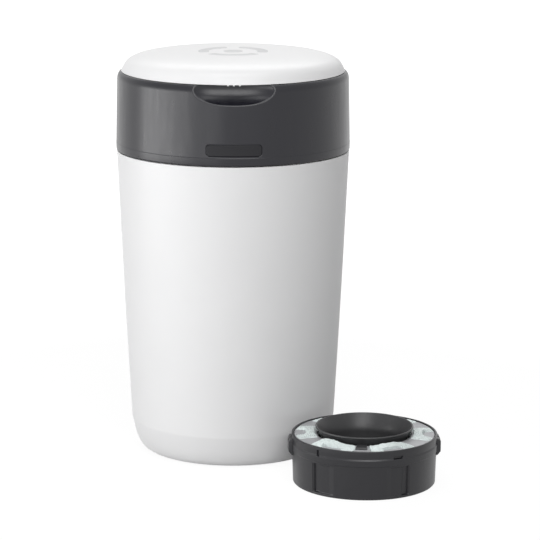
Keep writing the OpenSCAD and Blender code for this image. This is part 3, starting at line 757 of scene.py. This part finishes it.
def lid_mark():
    """A generic mark of three arcs round a dot, which stands a little proud of the crown."""
    low, high, dot_r = LID_TOP - 0.5, LID_TOP + 0.12, MARK_R * 0.28
    arcs = [plate([arc_shape(MARK_R * 0.7, MARK_R, a, 96)], low, high, 0.1) for a in (0, 120, 240)]
    dot = rounded([(0, low), (dot_r, low), (dot_r, high, 0.1), (0, high)], closed=False)
    return joined(*arcs, lathe(dot, 96))


def lid_underside():
    """The liner: a shallow dish with a groove for the seal round it."""
    (_, _, low), (r, _, top) = node_box("lid_liner")
    _, (groove_r, _, groove_top) = node_box("lid_seal")
    dish_r = 92
    return lathe(rounded([
        (0, low + 1.2), (dish_r, low + 1.2, 1), (dish_r + 2, low, 1), (GROOVE_IN_R, low, 0.3),
        (GROOVE_IN_R, groove_top, 0.2), (groove_r, groove_top, 0.2), (groove_r, low, 0.3), (r, low, 0.5),
        (r - 1.5, top, 0.5), (dish_r, top, 1), (dish_r - 2, top + 0.1), (0, top + 0.1)], closed=False))


def lid_gasket():
    """The seal in the liner's groove, which stands a little below the liner."""
    (_, _, low), (groove_r, _, groove_top) = node_box("lid_seal")
    in_r, out_r, top = GROOVE_IN_R + 0.1, groove_r - 0.1, groove_top - 0.1
    return lathe(rounded([(in_r, top), (in_r, low + 0.4, 0.4), (in_r + 1.5, low, 0.8),
                          (out_r - 1.5, low, 0.8), (out_r, low + 0.4, 0.4), (out_r, top)]))


piece("lid_dome", lid(), white_lid, "lid", ["lid_cover"])
piece("lid_inlay", lid_mark(), mark_grey, "lid", ["lid_mark"])
piece("lid_underside", lid_underside(), white_shell, "lid", ["lid_liner"])
piece("lid_gasket", lid_gasket(), rubber, "lid", ["lid_seal"])


# ---------- cassettes ----------

HOUSING_OUTER = rounded([(74.9, 0), (75.9, 1, 0.9), (76.9, 35.9, 0.3), (77.9, 36.5, 0.4), (78.2, 42.8, 0.3),
                         (77.3, 44.4, 0.3), (77.6, 48.9), (77.6, 52.3, 0.5), (77, 52.9, 0.4)],
                        closed=False, steps=4)
HOUSING_INNER = [(75.7, 52.9), (75.4, 52.5), (75.2, 50.9), (74.6, 37.5), (72.6, 35.3), (72.2, 4),
                 (71.8, 2.4), (71, 2)]
HOUSING_TUBE = rounded([(47.4, 2), (47, 2.6, 0.4), (47, 44, 0.5), (45.3, 44, 0.5), (45.3, 0, 0.4), (46, 0)],
                       closed=False, steps=4)
LUG_ANGLES = (90, 270)
LUG_OUTLINE = rounded([(77.4, 30.5), (81.6, 36, 0.8), (81.6, 44, 0.8), (79.4, 48.4)], closed=False)
LUG_AT_R, LUG_FACE_R, LUG_HALF_W, LUG_HOLE_DEPTH = 80, 81.5, 12, 2.0
# Each flute: the angle of its middle, and the side that its groove is on
FLUTES = ((-38, -1), (24.8, 1), (142, -1), (204.8, 1))
FLUTE_AT_R, FLUTE_DEPTH, GROOVE_DEPTH = 76, 1.35, 1.5
# Each slot near the rim: its angle, its width, and its lowest and highest points
SLOTS = ((-41.6, 2.8, 43.3, 49.6), (138.4, 2.8, 43.3, 49.6), (24, 10.5, 43.8, 46.3), (204, 10.5, 43.8, 46.3))
SLOT_AT_R, SLOT_FLOOR_R = 77.5, 75.7


def with_lug(r, off, rows_z):
    """Radii of the wall with a side lug, and a slot that runs down from above into the lug's face."""
    face = np.interp(rows_z, LUG_OUTLINE[:, 1], LUG_OUTLINE[:, 0]) / np.cos(np.radians(np.clip(off, -20, 20)))
    share = step_up(LUG_HALF_W - LUG_AT_R * np.radians(np.abs(off)), 1)
    share = share * step_up(rows_z - 30.6, 0.3) * step_up(48.3 - rows_z, 0.5)
    r = r + (np.clip(face, r, LUG_FACE_R) - r) * share
    hole = -rect_distance(LUG_AT_R * np.radians(off), rows_z - 47, 4.8, 8, 0.8)
    return r - LUG_HOLE_DEPTH * step_up(hole, 0.5) * (np.abs(off) < 30)


def with_flute(r, off, rows_z):
    """Radii of the wall with a flute: a slope, a flat floor, and a deeper groove near its far side."""
    t = FLUTE_AT_R * np.radians(off)
    level = step_up(rows_z - 3.2, 1.4) * step_up(34.1 - rows_z, 0.6) * (np.abs(off) < 20)
    flute = FLUTE_DEPTH * np.clip((t + 13.7) / 6, 0, 1) * (1 - step_up(t - 13.4, 0.5))
    groove = GROOVE_DEPTH * step_up(t - 5.6, 0.5) * (1 - step_up(t - 12.4, 0.5))
    return r - (flute + groove) * level


def with_slot(r, off, rows_z, width, low, high):
    """Radii of the wall with a slot near the rim."""
    t = SLOT_AT_R * np.radians(off)
    cut = -rect_distance(t, rows_z - (low + high) / 2, width, high - low, 0.4)
    return r - (r - SLOT_FLOOR_R) * step_up(cut, 0.4) * (np.abs(t) < 20)


def housing():
    """The cassette's housing as rings of points: outer wall, inner side, floor and inner tube."""
    angles = np.arange(0, 360, 0.5)[None]
    heights = [HOUSING_OUTER[:, 1], np.arange(1.4, 5, 0.45), np.arange(5, 30, 1.8), np.arange(30, 37, 0.4),
               np.arange(37, 52.3, 0.4)]
    rows_z = np.unique(np.round(np.concatenate(heights), 3))[:, None]
    r = np.interp(rows_z, HOUSING_OUTER[:, 1], HOUSING_OUTER[:, 0]) + 0 * angles
    for middle in LUG_ANGLES:
        r = with_lug(r, angle_from(angles, middle), rows_z)
    for middle, side in FLUTES:
        r = with_flute(r, angle_from(angles, middle) * side, rows_z)
    for middle, width, low, high in SLOTS:
        r = with_slot(r, angle_from(angles, middle), rows_z, width, low, high)
    rings = [polar(r, angles, rows_z)]
    rings += [polar(a + 0 * angles, angles, z) for a, z in [*HOUSING_INNER, *HOUSING_TUBE]]
    points = np.vstack(rings)
    return points.reshape(-1, 3), grid_faces(*points.shape[:2], wrap_rows=True)


def funnel():
    """The funnel and its throat, with the tab that ties it to the cover."""
    outer = bezier([(THROAT_OUT_R, 43), (THROAT_OUT_R, 48.5), (48.2, 53.5), (51.3, 58.6)], 16)
    inner = bezier([(50.6, 60.6), (46.8, 53.5), (THROAT_R, 47.5), (THROAT_R, 41)], 20)
    foot = [(THROAT_R, 0.4, 0.4), (THROAT_OUT_R, 0.4, 0.4)]
    lip = [(52.2, 59.7, 0.5), (52, 60.7, 0.4), (51.4, 61, 0.4)]
    outline = foot + [tuple(p) for p in outer] + lip + [tuple(p) for p in inner]
    tab_in, tab_out, tab_top = 47.4, 66, COVER_TOP + 1.2
    tab = rounded([(tab_in, COVER_TOP), (tab_out, COVER_TOP, 0.3), (tab_out, tab_top, 0.3),
                   (tab_in, tab_top)])
    return joined(lathe(rounded(outline), 280), sweep(tab, -6, 11, 12))


def window_outline(angle, nose):
    """A window in the cover, with a broad round tongue standing into it from its outer edge."""
    low, high, half, corner = WINDOW_IN_R, WINDOW_OUT_R, WINDOW_SPAN / 2, 2
    side, root = math.degrees(TONGUE_HALF_W / high), high - TONGUE_ROOT
    points = [(low, a) for a in np.linspace(-half + corner, half - corner, 24)]
    points += [(low + corner, half), (high - corner, half)]
    points += [(high, a) for a in np.linspace(half - corner, side, 8)]
    points += [(root - (root - nose) * math.cos(t), side * math.sin(t))
               for t in np.linspace(math.pi / 2, -math.pi / 2, 21)]
    points += [(high, a) for a in np.linspace(-side, -half + corner, 8)]
    points += [(high - corner, -half), (low + corner, -half)]
    return [tuple(polar(r, angle + a, 0)[:2]) for r, a in points]


def circle(r):
    """A circle as (x, y) points."""
    return [tuple(polar(r, a, 0)[:2]) for a in np.linspace(0, 360, 240, endpoint=False)]


def cover():
    """The flat ring over the film, with its windows and the notches in its rim."""
    rim = []
    for a in np.arange(0, 360, 1.0):
        notched = any(abs(angle_from(a, n)) < NOTCH_HALF_ANGLE for n in NOTCH_ANGLES)
        rim.append(tuple(polar(COVER_OUT_R - (NOTCH_DEPTH if notched else 0), a, 0)[:2]))
    holes = [window_outline(angle, nose) for angle, nose, _, _ in WINDOWS]
    return plate([rim, circle(COVER_IN_R)] + holes, COVER_Z, COVER_TOP, 0.25)


def film_patch(angle, nose, rise, peak, rng):
    """Film that swells out of one window in pleats that run round the cassette."""
    rows, columns = 56, 110
    u = np.linspace(-1, 1, columns)[None]
    v = np.linspace(0, 1, rows)[:, None]
    phase = rng.uniform(0, 9, 6)
    low = FILM_IN_R + 0.4 * np.sin(9 * u + phase[0]) + 0.25 * np.sin(23 * u + phase[1])
    high = FILM_OUT_R + 0.3 * np.sin(17 * u + phase[2])
    r = low + (high - low) * v
    a = u * WINDOW_SPAN / 2 + 0.5 * np.sin(7 * v + phase[3]) * np.abs(u) ** 3
    edge = np.minimum(np.minimum(v * 10, (1 - v) * 9), (1 - np.abs(u)) * 12)
    swell = 1 - (1 - np.clip(edge, 0, 1)) ** 2
    crest = rise * np.sin(math.pi * v ** 0.62) * np.exp(-((u - peak) / 0.8) ** 2)
    pleats = 0.34 * np.sin(2 * math.pi * r / 2.3 + 1.6 * np.sin(3.1 * u + phase[5]) + 0.8 * np.sin(11 * u))
    z = COVER_TOP - 0.3 + swell * (0.9 + crest + pleats)
    # Under the tongue the film dips below the cover
    root = WINDOW_OUT_R - TONGUE_ROOT
    along = r * np.radians(a) / TONGUE_HALF_W
    inward = np.maximum(root - r, 0) / (root - nose)
    z = z + (COVER_Z - 0.8 - z) * step_up(1.0 - np.hypot(along, inward), 0.22)
    points = polar(r, angle + a, z).reshape(-1, 3)
    for i, p in enumerate(points):
        q = Vector(p) * 0.32 + SEED_OFFSET
        points[i, 2] += 0.5 * noise.noise(q) + 0.12 * noise.noise(q * 2.7)
    under = points.copy()
    under[:, 2] = np.minimum(points[:, 2] - 1.2, COVER_Z - 0.2)
    return closed_sheet(points, under, rows, columns)


def film_pack():
    """The pleated stack in the chamber and the patches that swell out of the windows."""
    rng = np.random.default_rng(5)
    outer, inner = [], []
    for z in np.arange(2.4, 49.6, 0.7):
        fold = 0.4 * math.sin(z * 4.5)
        tube_r = 47.7 if z < 43 else 49.6
        outer.append((71.3 + fold, z))
        inner.append((tube_r - fold * 0.5, z))
    stack = lathe(np.array(outer + inner[::-1]), 160)
    return joined(stack, *[film_patch(*window, rng) for window in WINDOWS])


def film_sleeve():
    """Film drawn over the funnel's lip and down to its knot, gathered into pleats lower down."""
    path = np.array([(49.2, 46), (49.2, 51), (51.2, 55.5), (52.9, 59.4), (52.5, 61.3), (50.8, 61.5),
                     (46, 53.4), (43.4, 46.8), (42.5, 42), (42.4, 20), (41.6, 2), (34, -2.6), (23, -5.8),
                     (20.2, -7.5), (20.2, -10.5), (24, -14.5), (30, -21), (28, -30), (17, -37),
                     (7, -41.5), (2.6, -43.5)])
    lengths = np.concatenate([[0], np.cumsum(np.linalg.norm(np.diff(path, axis=0), axis=1))])
    s = np.linspace(0, lengths[-1], 150)[:, None]
    r, z = np.interp(s, lengths, path[:, 0]), np.interp(s, lengths, path[:, 1])
    angles = np.arange(0, 360, 1.25)[None]
    turn = np.radians(angles)
    wave = sum(np.sin(turn * n + 0.06 * z + n) / (i + 1.5) for i, n in enumerate((17, 29, 43)))
    gather = np.clip((44 - z) / 50, 0, 1)
    amount = np.minimum(0.16 + 1.6 * gather, r * 0.07)
    taut = np.where(z > 44, 0.08, 1)
    ring_r = r + taut * (wave - 1) * amount
    half_wall = np.where(s > 16, 0.35, -0.35)
    inner_r = np.maximum(ring_r - half_wall, 0.4)
    points = np.vstack([polar(ring_r, angles, z), polar(inner_r, angles, z)[::-1]])
    sleeve = points.reshape(-1, 3), grid_faces(*points.shape[:2], wrap_rows=True)
    knot = rounded([(0, -40.6), (3.2, -41, 1), (4.6, -43, 1.5), (3, -45, 1), (0, -45.2)], closed=False)
    return joined(sleeve, lathe(knot, 40))


CASSETTE_PARTS = (("housing", housing, cassette_grey, "cassette_grey"),
                  ("funnel", funnel, dark_plastic, "dark_plastic"),
                  ("cover", cover, cover_grey, "cover_grey"),
                  ("film", film_pack, film, "film"))
LOADED = (0, 0, LOADED_Z)
meshes = {}
for place, stem, body, at in (("bin", "cassette", "twist", LOADED), ("spare", "refill", "refill", REFILL)):
    for part, maker, material, slot in CASSETTE_PARTS:
        name, nodes = f"{place}_{part}", [f"{stem}_{part}"]
        if part in meshes:
            shown(name, meshes[part], body, nodes, at)
        else:
            meshes[part] = piece(name, maker(), material, body, nodes, at=at).data
piece("bin_film_sleeve", film_sleeve(), film, "twist", ["cassette_film"], crease=60, at=LOADED)


# ---------- CAD nodes that keep their shape ----------

for node, material in (("cassette_bay", dark_plastic), ("grip_retainer", charcoal),
                       ("cutter_guard", charcoal), ("rubber_feet", rubber), ("grip_fingers", rubber),
                       ("bay_screws", steel), ("bezel_screws", steel), ("click_spring", steel),
                       ("cutter_blade", steel), ("hinge_pin", steel), ("twist_ring", white_shell)):
    mesh = frame["nodes"][node].data
    mesh.materials.clear()
    mesh.materials.append(material)


# ---------- floor, light and camera ----------


# Kinds of ray that see a white world and floor
SEEN = ("Is Camera Ray", "Is Glossy Ray", "Is Transmission Ray")
FILL = 0.06
FLOOR_SIZE, FLOOR_GREY, FLOOR_GLOW = 60, 0.4, 1.24
# The glow's share of the floor near the bin, and the distances between which it grows to the whole
GLOW_SHARE, FADE_FROM, FADE_TO = 0.75, 0.5, 1.4
# Each lamp: name, azimuth, elevation, distance, size, strength, and the height it is aimed at
LAMPS = (("strip", -80, 0, 1.2, (0.70, 0.42), 0.30, 0.23),
         ("side", -53, 0, 1.4, (0.66, 0.42), 0.16, 0.23),
         ("low", -25, 0, 1.8, (0.80, 0.42), 0.06, 0.22),
         ("front", 5, 30, 2.6, (1.6, 1.6), 0.49, 0.22),
         ("top", 0, 80, 2.4, (1.6, 1.6), 0.39, 0.22),
         ("back", 180, 46, 2.6, (1.8, 1.3), 0.24, 0.22))
CAMERA_PLACE, CAMERA_LENS, SENSOR_W = (-0.0193, -2.8256, 0.7977), 173.93, 36
CAMERA_PAN, CAMERA_TILT, CAMERA_ROLL = -0.0213, 0.2089, 0.0035


def flag_seen(tree):
    """1 for a ray of a kind in SEEN."""
    path = tree.nodes.new("ShaderNodeLightPath")
    total = path.outputs[SEEN[0]]
    for name in SEEN[1:]:
        total = math_node(tree, "MAXIMUM", total, path.outputs[name])
    return total


def send_mix(tree, share, first, second, output):
    """Sends a mix of two shaders to an output; the share is the second's."""
    mix = tree.nodes.new("ShaderNodeMixShader")
    tree.links.new(share, mix.inputs["Fac"])
    tree.links.new(first.outputs[0], mix.inputs[1])
    tree.links.new(second.outputs[0], mix.inputs[2])
    tree.links.new(mix.outputs[0], tree.nodes[output].inputs["Surface"])


def white_world():
    """A world that is white to look at and lights the object only a little."""
    world = bpy.data.worlds.new("studio")
    bpy.context.scene.world = world
    world.use_nodes = True
    tree = world.node_tree
    dim = tree.nodes["Background"]
    dim.inputs["Color"].default_value = (1, 1, 1, 1)
    dim.inputs["Strength"].default_value = FILL
    white = tree.nodes.new("ShaderNodeBackground")
    white.inputs["Color"].default_value = (1, 1, 1, 1)
    send_mix(tree, flag_seen(tree), dim, white, "World Output")


def white_floor():
    """A pale floor that glows white to look at, and keeps the object's shadow near the object."""
    bpy.ops.mesh.primitive_plane_add(size=FLOOR_SIZE)
    floor = bpy.context.object
    floor.name = "floor"
    material = bpy.data.materials.new("floor")
    material.use_nodes = True
    tree = material.node_tree
    tree.nodes.remove(tree.nodes["Principled BSDF"])
    lit = tree.nodes.new("ShaderNodeBsdfDiffuse")
    lit.inputs["Color"].default_value = (FLOOR_GREY, FLOOR_GREY, FLOOR_GREY, 1)
    glow = tree.nodes.new("ShaderNodeEmission")
    glow.inputs["Strength"].default_value = FLOOR_GLOW
    place = tree.nodes.new("ShaderNodeTexCoord")
    distance = tree.nodes.new("ShaderNodeVectorMath")
    distance.operation = "LENGTH"
    tree.links.new(place.outputs["Object"], distance.inputs[0])
    fade = spread(tree, distance.outputs["Value"], GLOW_SHARE, 1, FADE_FROM, FADE_TO)
    send_mix(tree, math_node(tree, "MULTIPLY", flag_seen(tree), fade), lit, glow, "Material Output")
    floor.data.materials.append(material)


def softbox(name, azimuth, elevation, distance, size, strength, aim_z):
    """An area lamp that gives the point it is aimed at an irradiance of pi times strength."""
    data = bpy.data.lights.new(name, "AREA")
    data.shape, data.size, data.size_y = "RECTANGLE", *size
    data.energy = strength * (math.pi * distance) ** 2
    lamp = bpy.data.objects.new(name, data)
    bpy.context.scene.collection.objects.link(lamp)
    a, e = math.radians(azimuth), math.radians(elevation)
    back = Vector((math.sin(a) * math.cos(e), -math.cos(a) * math.cos(e), math.sin(e)))
    lamp.location = Vector((0, 0, aim_z)) + back * distance
    lamp.rotation_mode = "QUATERNION"
    lamp.rotation_quaternion = back.to_track_quat("Z", "Y")


def front_camera():
    """The scene's camera, in front of the bin and a little above it."""
    data = bpy.data.cameras.new("camera")
    data.sensor_width, data.lens = SENSOR_W, CAMERA_LENS
    data.clip_start, data.clip_end = 0.05, 100
    camera = bpy.data.objects.new("camera", data)
    bpy.context.scene.collection.objects.link(camera)
    camera.location = CAMERA_PLACE
    pan = Matrix.Rotation(CAMERA_PAN, 3, "Z")
    tilt = Matrix.Rotation(math.pi / 2 - CAMERA_TILT, 3, "X")
    roll = Matrix.Rotation(CAMERA_ROLL, 3, "Z")
    camera.rotation_euler = (pan @ tilt @ roll).to_euler()
    bpy.context.scene.camera = camera


white_world()
white_floor()
for lamp in LAMPS:
    softbox(*lamp)
front_camera()
bpy.context.scene.view_settings.view_transform = "Standard"
